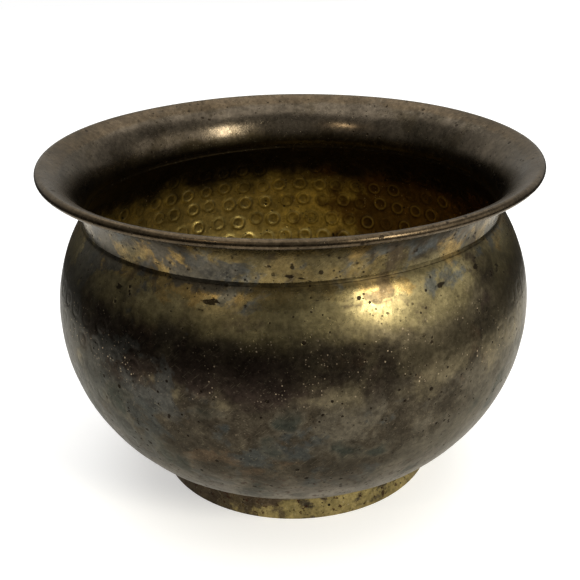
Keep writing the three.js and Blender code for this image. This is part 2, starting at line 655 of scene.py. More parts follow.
@dataclass(frozen=True)
class AgedBrass:
    """Brass under an uneven brown film, with stains over it, corrosion pits and pale flecks."""

    name: str
    dark: Colour = (0.019, 0.015, 0.010)
    middle: Colour = (0.034, 0.027, 0.018)
    light: Colour = (0.068, 0.056, 0.037)
    rough: float = 0.34
    patch: float = 0.014
    stains: tuple[Stain, ...] = ()
    pits: float = 0.9
    small_pits: float = 0.75
    pit_colour: Colour = (0.012, 0.008, 0.005)
    flecks: float = 0.25
    fleck_zone: Zone | None = None
    fleck_strays: float = 0.12
    fleck_colour: Colour = (0.36, 0.31, 0.23)
    dents: float = 0.16 * MM
    dent_size: float = 11 * MM
    grain_size: float = 0.8 * MM
    mottle_depth: float = 0.06 * MM
    grain_depth: float = 0.014 * MM
    scratch_depth: float = 0.006 * MM
    pit_depth: float = 0.12 * MM
    # Strength of the painted shade and dirt, and the roughness that it adds.
    grime: float = 0.65
    grime_rough: float = 0.22
    patchy: float = 0.05
    edge_tint: Colour = (0.74, 0.72, 0.67)
    scratches: float = 0.22
    scratch_colour: Colour = (0.20, 0.17, 0.11)

    def material(self) -> bpy.types.Material:
        """Builds the finish.

        Returns:
            The material.
        """
        bench = Bench(self.name)
        mottle = bench.noise(self.patch, detail=7, rough=0.66, warp=0.3)
        grain = bench.noise(self.grain_size, detail=3, rough=0.6)
        ramp = bench.node("ShaderNodeValToRGB")
        ramp.color_ramp.elements.new(0.5)
        steps = ((0.30, self.dark), (0.50, self.middle), (0.74, self.light))
        for element, (where, colour) in zip(ramp.color_ramp.elements, steps):
            element.position = where
            element.color = (*colour, 1.0)
        speckled = bench.math("ADD", mottle, bench.span(grain, 0.3, 0.7, -self.patchy, self.patchy))
        bench.feed(ramp.inputs[0], speckled)
        colour = ramp.outputs[0]
        rough = bench.span(mottle, *MIDDLE, self.rough + self.patchy, self.rough - self.patchy)
        for stain in self.stains:
            mask = stain.mask(bench)
            darker, lighter = (tuple(share * c for c in stain.colour) for share in STAIN_SHADES)
            tint = bench.blend(bench.span(mottle, *MIDDLE), darker, lighter)
            colour = bench.blend(mask, colour, tint)
            step = bench.math("MULTIPLY", mask, bench.math("SUBTRACT", stain.rough, rough))
            rough = bench.math("ADD", rough, step)
        pitted = self._pits(bench)
        colour = bench.blend(pitted, colour, self.pit_colour)
        colour = bench.blend(self._flecks(bench), colour, self.fleck_colour)
        # Painted shade, with some dirt, drawn in the pits' colour where each point's grime value is
        # high: in the neck's fold, under the rolled edge and at the joints.
        ragged = bench.span(bench.noise(3 * MM, detail=4, rough=0.6), *MIDDLE, 0.55, 1.0)
        grime = bench.math("MULTIPLY", bench.value("grime"), ragged)
        grime = bench.math("MULTIPLY", grime, self.grime)
        colour = bench.blend(grime, colour, self.pit_colour)
        place = bench.moved(stretch=(1, 1, 0.14), turn=(0.3, 0.75, 0.2))
        smear = bench.noise(1.3 * MM, detail=3, rough=0.6, warp=0.4, place=place)
        place = bench.moved(shift=(0.5, 0.3, 0.9))
        fine = bench.noise(2.6 * MM, detail=6, rough=0.72, warp=0.2, place=place)
        speckle = bench.shade(bench.span(fine, 0.32, 0.68, 0.70, 1.30))
        colour = bench.blend(1.0, colour, speckle, "MULTIPLY")
        for turn, start in HAIRLINES:
            place = bench.moved(stretch=(1, 1, 0.08), turn=turn, shift=(start, 0.2, 0.4))
            hair = bench.noise(0.55 * MM, detail=1, rough=0.5, place=place)
            hair = bench.span(hair, start, start + 0.05, 0.0, self.scratches)
            colour = bench.blend(hair, colour, self.scratch_colour)
        colour = self._ridges(bench, colour)
        bench.feed(bench.shader.inputs["Base Color"], colour)
        bench.shader.inputs["Metallic"].default_value = 1.0
        bench.shader.inputs["Specular Tint"].default_value = (*self.edge_tint, 1.0)
        rough = bench.math("ADD", rough, bench.span(smear, *MIDDLE, -0.025, 0.03))
        pits_shade_and_dirt = bench.math("ADD", pitted, grime)
        rough = bench.math("ADD", rough, bench.math("MULTIPLY", pits_shade_and_dirt, self.grime_rough))
        bench.feed(bench.shader.inputs["Roughness"], rough)
        scratch = bench.span(smear, 0.66, 0.72)
        dents = bench.noise(self.dent_size, detail=1, rough=0.4)
        bench.bump([(dents, self.dents), (mottle, self.mottle_depth), (grain, self.grain_depth),
                    (scratch, -self.scratch_depth), (pitted, -self.pit_depth)])
        return bench.material

    def _ridges(self, bench: Bench, colour: bpy.types.NodeSocket) -> bpy.types.NodeSocket:
        """Leaves the colour alone; a finish with punched rings rubs them bright."""
        return colour

    def _pits(self, bench: Bench) -> bpy.types.NodeSocket:
        """Dark corrosion pits of three sizes, gathered in clusters.

        Args:
            bench: The material's bench.

        Returns:
            The mask.
        """
        place = bench.moved(shift=(0.7, 0.1, 0.2))
        clusters = bench.span(bench.noise(20 * MM, detail=3, rough=0.5, place=place), 0.38, 0.54)
        large = bench.spots(4.0 * MM, share=0.30, edge=0.06)
        place = bench.moved(shift=(0.05, 0.02, 0.04))
        medium = bench.spots(2.5 * MM, share=0.30, edge=0.07, place=place)
        place = bench.moved(shift=(0.15, 0.12, 0.01))
        small = bench.spots(1.2 * MM, share=0.34, edge=0.10, place=place)
        pits = bench.math("MULTIPLY", bench.math("MAXIMUM", large, medium), clusters)
        place = bench.moved(shift=(0.2, 0.6, 0.3))
        spread = bench.span(bench.noise(14 * MM, detail=3, rough=0.5, place=place), 0.36, 0.60)
        small = bench.math("MULTIPLY", small, bench.math("MULTIPLY", spread, self.small_pits))
        return bench.math("MULTIPLY", bench.math("MAXIMUM", pits, small), self.pits)

    def _flecks(self, bench: Bench) -> bpy.types.NodeSocket:
        """Fine pale flecks, thickest in their own band of heights.

        Args:
            bench: The material's bench.

        Returns:
            The mask.
        """
        place = bench.moved(shift=(0.4, 0.9, 0.6))
        near = bench.spots(1.3 * MM, share=0.36, edge=0.10, place=place)
        place = bench.moved(shift=(0.2, 0.3, 0.8))
        far = bench.spots(2.6 * MM, share=0.22, edge=0.05, place=place)
        place = bench.moved(shift=(0.3, 0.5, 0.1))
        clusters = bench.span(bench.noise(18 * MM, detail=3, rough=0.55, place=place), 0.38, 0.58)
        flecks = bench.math("MULTIPLY", bench.math("MAXIMUM", near, far), clusters)
        if self.fleck_zone is not None:
            band = self.fleck_zone.mask(bench, bench.height())
            flecks = bench.math("MULTIPLY", flecks, bench.math("ADD", self.fleck_strays, band))
        return bench.math("MULTIPLY", flecks, self.flecks)


@dataclass(frozen=True)
class PunchedBrass(AgedBrass):
    """Aged brass with punched rings: their ridges are rubbed brighter inside the bowl, and their rims
    there get painted shade.

    crest, skirt and rim are the ring strengths between which each part of a mark fades.
    """

    crest: tuple[float, float] = (0.45, 0.95)
    skirt: tuple[float, float] = (0.25, 0.55)
    rim: tuple[float, float] = (0.03, 0.20)
    ridge_colour: Colour = (0.52, 0.40, 0.13)
    ridge_share: float = 0.35
    golden_top: float = 0.112
    dull_from: float = 0.130
    rim_shade_inside: float = 0.30
    dirt_outside: float = 0.08

    def _ridges(self, bench: Bench, colour: bpy.types.NodeSocket) -> bpy.types.NodeSocket:
        """Rubs the ridges inside bright, paints shade round their rims inside, and leaves dirt in the
        grooves outside.

        Args:
            bench: The material's bench.
            colour: The colour under them.

        Returns:
            The colour with them.
        """
        ring, inside = bench.value("ring"), bench.value("inside")
        golden = bench.span(bench.height(), self.golden_top, self.dull_from, 1.0, 0.0)
        rubbed = bench.math("MULTIPLY", inside, self.ridge_share)
        ridge = bench.math("MULTIPLY", bench.span(ring, *self.crest), rubbed)
        colour = bench.blend(bench.math("MULTIPLY", ridge, golden), colour, self.ridge_colour)
        # Painted shade round each mark's rim inside the bowl, in the pits' colour.
        skirt = bench.span(ring, *self.skirt, 1.0, 0.0)
        rim = bench.math("MULTIPLY", bench.span(ring, *self.rim), skirt)
        rim_shade = bench.math("MULTIPLY", rim, bench.math("MULTIPLY", inside, self.rim_shade_inside))
        groove = bench.math("MULTIPLY", ring, bench.span(inside, 0.0, 1.0, self.dirt_outside, 0.0))
        return bench.blend(bench.math("ADD", rim_shade, groove), colour, self.pit_colour)


NECK = Zone(0.1415, 0.200, 0.0022)
BELLY_TO_NECK = Zone(0.090, 0.200, 0.010)
SHOULDER = Zone(0.124, 0.149, 0.006)
BELOW_SHOULDER = Zone(-0.01, 0.100, 0.006)
LOW = Zone(0.030, 0.098, 0.006)

BRONZE = Stain(colour=(0.205, 0.168, 0.080), size=0.060, start=0.30, edge=0.22, strength=0.85,
               rough=0.28, seed=0.13, zone=SHOULDER, face=Face.OUTSIDE)
NECK_PATCHES = (
    Stain(colour=(0.215, 0.140, 0.046), size=0.026, start=0.46, edge=0.11, strength=0.70,
          rough=0.26, seed=0.33, face=Face.OUTSIDE, zone=NECK, stretch=(1, 1, 1.4)),
    Stain(colour=(0.104, 0.080, 0.034), size=0.040, start=0.46, edge=0.14, strength=0.74,
          rough=0.27, seed=0.58, face=Face.OUTSIDE, zone=NECK),
    Stain(colour=(0.066, 0.072, 0.069), size=0.018, start=0.52, edge=0.09, strength=0.78,
          rough=0.33, seed=1.13, face=Face.OUTSIDE, zone=NECK, stretch=(1, 1, 0.45),
          turn=(0.2, 0.85, 0)),
    Stain(colour=(0.040, 0.028, 0.018), size=0.018, start=0.53, edge=0.09, strength=0.75,
          rough=0.36, seed=1.49, face=Face.OUTSIDE, zone=NECK),
    Stain(colour=(0.012, 0.008, 0.005), size=0.0055, start=0.645, edge=0.03, strength=0.90,
          rough=0.45, seed=4.10, face=Face.OUTSIDE, zone=NECK, ragged=0.5,
          stretch=(0.55, 0.55, 1.2)),
)
SIDE_FILM = Stain(colour=(0.052, 0.050, 0.043), size=0.030, start=0.625, edge=0.05, strength=0.85,
                  rough=0.36, seed=6.3, face=Face.OUTSIDE, zone=BELLY_TO_NECK,
                  lean=(-1.5, 0.0, 0.0))
PLUM_BLOTCH = Stain(colour=(0.050, 0.034, 0.027), size=0.026, start=0.57, edge=0.09, strength=0.60,
                    rough=0.34, seed=0.91, zone=Zone(0.108, 0.147, 0.006))
# Painted reflection of the dark room, in a band round the belly, spreading most on the left.
BELLY_DARK_REFLECTION = Stain(colour=(0.023, 0.0158, 0.0122), size=0.034, start=0.32, edge=0.20, strength=0.92,
                   rough=0.34, seed=0.45, face=Face.OUTSIDE, zone=Zone(0.099, 0.121, 0.007),
                   wander=0.07, lean=(-2.3, 0.4, 0.0))
# A bronze patch round the belly, with painted light: it spreads towards the lit right side.
BELLY_BRONZE_AND_PAINTED_LIGHT = Stain(colour=(0.115, 0.094, 0.055), size=0.030, start=0.42, edge=0.12, strength=0.80,
                     rough=0.30, seed=2.05, face=Face.OUTSIDE, zone=Zone(0.096, 0.128, 0.006),
                     lean=(0.9, 0.0, 0.0))
# Pale scuffed metal near the bottom, lightened further as a painted reflection of the pale floor.
LOW_SCUFFS_AND_FLOOR_REFLECTION = Stain(colour=(0.185, 0.162, 0.130), size=0.040, start=0.33, edge=0.20, strength=0.85,
                  rough=0.36, seed=0.27, face=Face.OUTSIDE, zone=Zone(-0.01, 0.040, 0.016),
                  lean=(0.6, 0.0, 0.0))
GREY_BROWN = Stain(colour=(0.076, 0.065, 0.046), size=0.024, start=0.53, edge=0.10, strength=0.75,
                   rough=0.35, seed=3.31, face=Face.OUTSIDE, zone=BELOW_SHOULDER,
                   lean=(1.6, 0.0, 0.0))
SLATE = Stain(colour=(0.036, 0.042, 0.041), size=0.028, start=0.53, edge=0.09, strength=0.60,
              rough=0.37, seed=0.77, face=Face.OUTSIDE, zone=Zone(0.044, 0.101, 0.008),
              lean=(-0.9, 0.0, 0.0))
MOSS_BLOT = Stain(colour=(0.017, 0.022, 0.018), size=0.026, start=0.57, edge=0.07, strength=0.75,
                  rough=0.42, seed=1.35, face=Face.OUTSIDE, zone=LOW, ragged=0.42)
HALO = Stain(colour=(0.078, 0.068, 0.048), size=0.026, start=0.535, edge=0.05, strength=0.45,
             rough=0.36, seed=1.35, face=Face.OUTSIDE, zone=LOW, ragged=0.42)
RED_SPECKS = Stain(colour=(0.036, 0.015, 0.008), size=0.0026, start=0.605, edge=0.03, strength=0.85,
                   rough=0.45, seed=7.7, face=Face.OUTSIDE, zone=Zone(-0.01, 0.060, 0.012),
                   ragged=0.5, warp=0.0)
RUST_FILM = Stain(colour=(0.075, 0.048, 0.027), size=0.024, start=0.56, edge=0.09, strength=0.55,
                  rough=0.36, seed=1.72)


# --- The pot's pieces


def dress(piece: bpy.types.Object, node: str,
          finish: bpy.types.Material) -> bpy.types.Object:
    """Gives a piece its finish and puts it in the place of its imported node.

    Args:
        piece: The finished mesh.
        node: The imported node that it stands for.
        finish: The material.

    Returns:
        The same piece.
    """
    piece.data.materials.append(finish)
    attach(piece, BODY)
    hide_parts(node)
    return piece


def softened(line: np.ndarray, gap: float = 0.12 * MM, sharp: float = math.radians(35),
             side_share: float = 0.22, cut: float = 0.3) -> np.ndarray:
    """A closed outline with its sharp corners broken, as a file would.

    Args:
        line: The outline's points, one in each row.
        gap: How far from a corner its break starts.
        sharp: The smallest turn that counts as a corner.
        side_share: The gap's largest share of the shorter side.
        cut: How far the corner itself moves in, as a share of the gap.

    Returns:
        The outline with five points in place of each sharp corner.
    """
    made: list[np.ndarray] = []
    for k, here in enumerate(line):
        back, on = line[k - 1] - here, line[(k + 1) % len(line)] - here
        back_length, on_length = np.linalg.norm(back), np.linalg.norm(on)
        turn = math.pi - math.acos(float(np.clip(back @ on / (back_length * on_length), -1, 1)))
        if turn < sharp:
            made.append(here)
            continue
        step = min(gap, side_share * back_length, side_share * on_length)
        back, on = back / back_length * step, on / on_length * step
        corner = here + cut * (back + on)
        made.extend([here + 2 * back, here + back, corner, here + on, here + 2 * on])
    return np.array(made)


@dataclass
class Bowl:
    """The raised bowl: a smooth shoulder, and rings punched over the belly and down to the foot."""

    columns: int = 1152
    shoulder_arc: float = 87.9 * MM
    shoulder_rise: float = 50.2 * MM
    belly_arc: float = 92.7 * MM
    belly_drop: float = 65 * MM
    underside_arc: float = 55 * MM
    sheet: float = 1.0 * MM
    fine: float = 0.68 * MM
    plain: float = 0.9 * MM
    first_ring: float = 34 * MM
    smooth_shoulder: float = 27 * MM
    foot_clearance: float = 1 * MM
    foot_fade: float = 4 * MM
    mouth_fade: float = 12 * MM
    foot_grime: float = 2.2 * MM
    mouth_break: float = 0.10 * MM
    bottom_rows: int = 12
    ring_depth_outside: float = 0.20 * MM
    ring_depth_inside: float = 0.60 * MM
    rubbed_side: float = -1.25
    rubbed_spread: float = 1.0
    rubbed_share: float = 0.8
    punch: RingPunch = field(default_factory=RingPunch)
    hand: HandWork = HandWork(depth=0.35 * MM, seed=5)
    planish: HandWork = HandWork(depth=0.10 * MM, seed=9, waves=6, first=17, rise=380.0)

    @property
    def belly_radius(self) -> float:
        """The bowl's widest distance from the axis."""
        low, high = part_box("bowl_shell")
        return (high.x - low.x) / 2

    @property
    def mouth_radius(self) -> float:
        """The mouth's outside distance from the axis."""
        across = math.sqrt(self.shoulder_arc ** 2 - self.shoulder_rise ** 2)
        return self.belly_radius - self.shoulder_arc + across

    def outline(self, inset: float) -> np.ndarray:
        """The bowl's side from the bottom's edge up to the mouth.

        Args:
            inset: 0 for the outside, the sheet's thickness for the inside.

        Returns:
            One row for each point: radius, height, normal's radius and normal's height.
        """
        belly_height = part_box("bowl_shell")[1].z - self.shoulder_rise
        shoulder = Arc(self.belly_radius - self.shoulder_arc, belly_height, self.shoulder_arc)
        belly = Arc(self.belly_radius - self.belly_arc, belly_height, self.belly_arc)
        turn = -math.asin(self.belly_drop / self.belly_arc)
        inward = self.belly_arc - self.underside_arc
        underside = Arc(belly.r + inward * math.cos(turn), belly.z + inward * math.sin(turn),
                        self.underside_arc)
        ring_top = math.asin((self.first_ring + self.punch.ring_radius * 2) / self.shoulder_arc)
        mouth = math.asin(self.shoulder_rise / (self.shoulder_arc - inset))
        return np.concatenate([
            underside.points(-QUARTER_TURN, turn, self.fine, inset)[:-1],
            belly.points(turn, 0, self.fine, inset)[:-1],
            shoulder.points(0, ring_top, self.fine, inset)[:-1],
            shoulder.points(ring_top, mouth, self.plain, inset),
        ])

    def face(self, mesh: TurnedMesh, inset: float) -> tuple[np.ndarray, ...]:
        """One face of the bowl's side with its rings.

        Args:
            mesh: The mesh it's for.
            inset: 0 for the outside, the sheet's thickness for the inside.

        Returns:
            Radius, height, ring strength and painted shade with dirt, a row for each circle from the
            bottom up.
        """
        line = self.outline(inset)
        r, z, normal_r, normal_z = (line[:, k] for k in range(4))
        along = np.concatenate([[0], np.cumsum(np.hypot(np.diff(r), np.diff(z)))])
        start = self.first_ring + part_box("bowl_shell")[1].z - self.shoulder_rise
        down = np.interp(start, z, along) - along
        foot_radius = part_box("foot_ring")[1].x
        off_foot = np.clip((r - foot_radius - self.foot_clearance) / self.foot_fade, 0, 1)
        reach = 2 * self.punch.ring_radius
        off_shoulder = np.clip((down + reach) / reach * 2, 0, 1)
        ring = self.punch.strength(mesh.theta, down, r) * (off_foot * off_shoulder)[:, None]
        theta = mesh.theta[None, :]
        depth = self.ring_depth_inside
        if inset == 0:
            away = np.mod(theta - self.rubbed_side + math.pi, FULL_TURN) - math.pi
            rubbed = self.rubbed_share * np.exp(-(away / self.rubbed_spread) ** 2)
            smooth = start - self.first_ring + self.smooth_shoulder
            off_smooth = np.clip((smooth - z) / reach + 0.5, 0, 1)
            ring = ring * (1 - rubbed) * off_smooth[:, None]
            depth = self.ring_depth_outside
        off_mouth = np.clip((z[-1] - z) / self.mouth_fade, 0, 1)
        push = self.hand.offset(theta, z[:, None]) + self.planish.offset(theta, z[:, None])
        push = push * (off_foot * off_mouth)[:, None] - depth * ring
        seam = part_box("neck_braze_seam")[0].z
        inward, upward = CREASE.shift(theta, z[:, None], seam)
        # Painted shade round the bottom edge, where the bowl meets the foot, added to the fold's
        # painted shade and dirt.
        foot_shade = np.exp(-((z - z[0]) / self.foot_grime) ** 2)
        grime = CREASE.grime(theta, z[:, None], seam) + foot_shade[:, None]
        return (r[:, None] + push * normal_r[:, None] + inward,
                z[:, None] + push * normal_z[:, None] + upward, ring, grime.clip(0, 1))

    def build(self) -> bpy.types.Object:
        """Builds the shell and dresses it.

        Returns:
            The bowl.
        """
        mesh = TurnedMesh("bowl", self.columns, Ends.POLES)
        outer_r, outer_z, outer_ring, grime = self.face(mesh, 0.0)
        inner_r, inner_z, inner_ring, _ = self.face(mesh, self.sheet)
        bottom = np.linspace(0, 1, self.bottom_rows + 2)[1:-1, None]
        none = np.zeros((1, 1))
        flat = np.zeros_like(bottom)
        mesh.add(bottom * outer_r[0].mean(), flat + outer_z[0].mean(), ring=none, inside=none,
                 grime=none)
        mesh.add(outer_r[:-1], outer_z[:-1], ring=outer_ring[:-1], inside=none, grime=grime[:-1])
        outer, inner = self.outline(0.0)[:, :2], self.outline(self.sheet)[:, :2]
        edge = softened(np.array([outer[-3], outer[-1], inner[-1], inner[-3]]), self.mouth_break)
        edge = edge[edge[:, 1] > max(outer[-2, 1], inner[-2, 1]) + self.mouth_break]
        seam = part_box("neck_braze_seam")[0].z
        inward, upward = CREASE.shift(mesh.theta[None, :], edge[:, 1:], seam)
        # The mouth's edge, under the collar, is painted fully in shade.
        mesh.add(edge[:, :1] + inward, edge[:, 1:] + upward, ring=none, grime=none + 1,
                 inside=np.linspace(0, 1, len(edge))[:, None])
        mesh.add(inner_r[-2::-1], inner_z[-2::-1], ring=inner_ring[-2::-1], inside=none + 1,
                 grime=none)
        mesh.add(bottom[::-1] * inner_r[0].mean(), flat + inner_z[0].mean(), ring=none,
                 inside=none + 1, grime=none)
        return dress(mesh.build(), "bowl_shell", self.finish().material())

    def finish(self) -> AgedBrass:
        """The bowl's finish: bronze shoulder, a painted dark reflection round the belly, mottled below,
        golden inside, and painted shade on the right inside and high in the shoulder.

        Returns:
            The finish.
        """
        golden = Stain(colour=(0.500, 0.385, 0.125), size=0.045, start=0.22, edge=0.22,
                       strength=0.92, rough=0.40, seed=2.10, face=Face.INSIDE,
                       zone=Zone(-0.02, 0.120, 0.009))
        # Painted shade on the right of the inside, away from the light.
        right_inside_shade = Stain(colour=(0.085, 0.042, 0.014), size=0.030, start=0.52, edge=0.16,
                       strength=0.90, rough=0.42, seed=2.63, face=Face.INSIDE, lean=(3.6, 0.0, 0.0))
        # Painted shade high inside the shoulder, which faces down.
        throat_shade = Stain(colour=(0.016, 0.011, 0.005), size=0.020, start=0.10, edge=0.15,
                       strength=0.97, rough=0.45, seed=2.97, face=Face.INSIDE,
                       zone=Zone(0.123, 0.200, 0.009))
        residue = Stain(colour=(0.105, 0.080, 0.040), size=0.030, start=0.36, edge=0.16,
                        strength=0.80, rough=0.50, seed=5.2, face=Face.INSIDE,
                        zone=Zone(-0.02, 0.018, 0.006), wander=0.03)
        stains = (RUST_FILM, GREY_BROWN, LOW_SCUFFS_AND_FLOOR_REFLECTION, SLATE, HALO, MOSS_BLOT, BRONZE, BELLY_BRONZE_AND_PAINTED_LIGHT,
                  PLUM_BLOTCH, BELLY_DARK_REFLECTION, *NECK_PATCHES, SIDE_FILM, RED_SPECKS, golden, right_inside_shade,
                  residue, throat_shade)
        return PunchedBrass("hammered brass", rough=0.37, stains=stains, flecks=1.0,
                            fleck_zone=Zone(0.098, 0.124, 0.006), fleck_colour=(0.42, 0.33, 0.22))


@dataclass
class NeckCollar:
    """The neck and its flared lip, with the edge rolled over the wire."""

    mouth_radius: float
    columns: int = 720
    setback: float = 0.6 * MM
    sheet: float = 1.0 * MM
    bead_radius: float = 2.3 * MM
    edge_turn: float = math.radians(70)
    curl_turn: float = math.radians(278)
    lip_steps: int = 56
    curl_steps: int = 30
    lip_crowding: float = 1.15
    fitting_rounds: int = 40
    tilt: float = 0.0086
    heave: float = 0.3
    tuck_grime: float = 0.8
    tuck_width: float = 1.6 * MM
    hand: HandWork = HandWork(depth=0.45 * MM, seed=21, waves=4, first=2, rise=40.0)

    def bead_centre(self) -> np.ndarray:
        """The distance from the axis and the height of the rolled edge's middle."""
        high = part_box("neck_collar")[1]
        return np.array([high.x - self.bead_radius, high.z - self.bead_radius])

    def lip(self) -> tuple[np.ndarray, np.ndarray]:
        """The lip's upper face and its normal towards the underside, from the base to the roll.

        Returns:
            Points and normals, one in each row.
        """
        base = np.array([self.mouth_radius - self.setback - self.sheet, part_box("neck_collar")[0].z])
        share = np.array([1 - math.cos(self.edge_turn), math.sin(self.edge_turn)])
        reach = self.bead_centre() - base
        size = reach / share
        for _ in range(self.fitting_rounds):
            normal = np.array([size[1] * math.cos(self.edge_turn), -size[0] * math.sin(self.edge_turn)])
            size = (reach - self.bead_radius * normal / np.linalg.norm(normal)) / share
        turn = self.edge_turn * np.linspace(0, 1, self.lip_steps) ** self.lip_crowding
        points = base + size * np.stack([1 - np.cos(turn), np.sin(turn)], 1)
        normals = np.stack([size[1] * np.cos(turn), -size[0] * np.sin(turn)], 1)
        return points, normals / np.linalg.norm(normals, axis=1, keepdims=True)

    def build(self) -> bpy.types.Object:
        """Builds the collar and dresses it.

        Returns:
            The collar.
        """
        points, normals = self.lip()
        centre = self.bead_centre()
        start = math.atan2(-normals[-1, 1], -normals[-1, 0])
        angle = np.linspace(start, start - self.curl_turn, self.curl_steps)[1:, None]
        spoke = np.concatenate([np.cos(angle), np.sin(angle)], 1)
        roll_inside = centre + (self.bead_radius - self.sheet) * spoke
        roll_outside = centre + self.bead_radius * spoke
        under = points + self.sheet * normals
        line = softened(np.concatenate([under, roll_inside, roll_outside[::-1], points[::-1]]))
        mesh = TurnedMesh("neck_and_lip", self.columns, Ends.LOOPED)
        low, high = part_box("neck_collar")
        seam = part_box("neck_braze_seam")[0].z
        r, z = line[:, :1], line[:, 1:]
        theta = mesh.theta[None, :]
        share = np.clip((z - low.z) / (high.z - low.z), 0, 1)
        push = self.hand.offset(theta, z) * share
        lift = -self.tilt * r * np.cos(theta) * share
        inward, upward = CREASE.shift(theta, z, seam)
        middle_radius = np.interp(z, under[:, 1], (under[:, 0] + points[:, 0]) / 2)
        upper = (r < middle_radius) | (z > centre[1] - self.bead_radius)
        # Painted shade under the rolled edge, where the sheet's end tucks in, joined with the fold's
        # painted shade and dirt.
        tucked = np.hypot(r - centre[0] + self.bead_radius, z - centre[1] + self.bead_radius)
        in_tuck = self.tuck_grime * np.exp(-(tucked / self.tuck_width) ** 2)
        grime = np.maximum(CREASE.grime(theta, z, seam), in_tuck)
        height = z + lift + push * self.heave + upward
        mesh.add(r + push + inward, height, inside=upper.astype(float), grime=grime)
        return dress(mesh.build(), "neck_collar", self.finish().material())

    def finish(self) -> AgedBrass:
        """The collar's finish: grey-brown on top, copper, slate and brown patches outside, and painted
        shade down the throat.

        Returns:
            The finish.
        """
        grey = Stain(colour=(0.084, 0.067, 0.047), size=0.045, start=0.32, edge=0.18, strength=0.88,
                     rough=0.22, seed=1.91, face=Face.INSIDE)
        umber = Stain(colour=(0.046, 0.035, 0.021), size=0.028, start=0.53, edge=0.10,
                      strength=0.62, rough=0.30, seed=2.21, face=Face.INSIDE)
        # Painted shade down the inside of the neck.
        throat_shade = Stain(colour=(0.022, 0.016, 0.007), size=0.020, start=0.10, edge=0.15,
                       strength=0.90, rough=0.36, seed=2.97, face=Face.INSIDE,
                       zone=Zone(0.10, 0.1520, 0.0035), wander=0.02)
        edge = Stain(colour=(0.070, 0.050, 0.029), size=0.020, start=0.24, edge=0.20, strength=0.85,
                     rough=0.30, seed=2.8, zone=Zone(0.1688, 0.200, 0.0010), wander=0.004)
        stains = (BRONZE, *NECK_PATCHES, SIDE_FILM, grey, umber, edge, throat_shade)
        return AgedBrass("lip brass", rough=0.30, patch=0.018, stains=stains, pits=0.8, flecks=0.15,
                         edge_tint=(0.83, 0.81, 0.77))


@dataclass
class Ring:
    """A plain turned ring with a closed outline, such as a wire, a braze seam or the foot."""

    name: str
    node: str
    slot: str
    outline: np.ndarray
    finish: AgedBrass
    columns: int = 600
    hand: HandWork = HandWork(depth=0.0, seed=1)
    inner_limit: float = 0.0
    creased: bool = False
    top_grime: float = 1.2 * MM

    def build(self) -> bpy.types.Object:
        """Builds the ring and dresses it.

        Returns:
            The ring.
        """
        mesh = TurnedMesh(self.name, self.columns, Ends.LOOPED)
        r, z = self.outline[:, :1], self.outline[:, 1:]
        theta = mesh.theta[None, :]
        push, lift = self.hand.offset(theta, z), np.zeros((1, self.columns))
        # Painted shade along the ring's top, where it meets the piece above; a creased ring takes the
        # fold's painted shade and dirt instead.
        grime = np.exp(-((z - z.max()) / self.top_grime) ** 2)
        if self.creased:
            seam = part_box(self.node)[0].z
            inward, lift = CREASE.shift(theta, z, seam)
            grime = CREASE.grime(theta, z, seam)
            push = push + inward
        mesh.add(r + push, z + lift, inside=(r < self.inner_limit).astype(float), grime=grime)
        return dress(mesh.build(), self.node, self.finish.material())


def between(start: np.ndarray, end: np.ndarray, spacing: float) -> list[np.ndarray]:
    """Evenly spaced points on the straight line between two points, without its ends.

    Args:
        start: First end.
        end: Second end.
        spacing: Distance between points, about.

    Returns:
        The points.
    """
    count = int(np.linalg.norm(end - start) / spacing)
    return [start + (end - start) * n / (count + 1) for n in range(1, count + 1)]


def rounded(corners: list[tuple[float, float, float]], steps: int = 6,
            spacing: float = 0.8 * MM) -> np.ndarray:
    """A closed outline with its corners rounded.

    Args:
        corners: Radius, height and rounding radius of each corner, anticlockwise.
        steps: Points on each rounding.
        spacing: Distance between points on the straight sides, about.

    Returns:
        The outline's points, one in each row.
    """
    plain = np.array([corner[:2] for corner in corners])
    line: list[np.ndarray] = []
    for k, (_, _, rounding) in enumerate(corners):
        here, before, after = plain[k], plain[k - 1], plain[(k + 1) % len(plain)]
        towards, away = before - here, after - here
        towards, away = towards / np.linalg.norm(towards), away / np.linalg.norm(away)
        half = math.acos(float(np.clip(towards @ away, -1, 1))) / 2
        cut = rounding / math.tan(half)
        first, last = here + towards * cut, here + away * cut
        if line:
            line += between(line[-1], first, spacing)
        for share in np.linspace(0, 1, steps):
            line.append((1 - share) ** 2 * first + 2 * share * (1 - share) * here + share ** 2 * last)
    return np.array(line + between(line[-1], line[0], spacing))


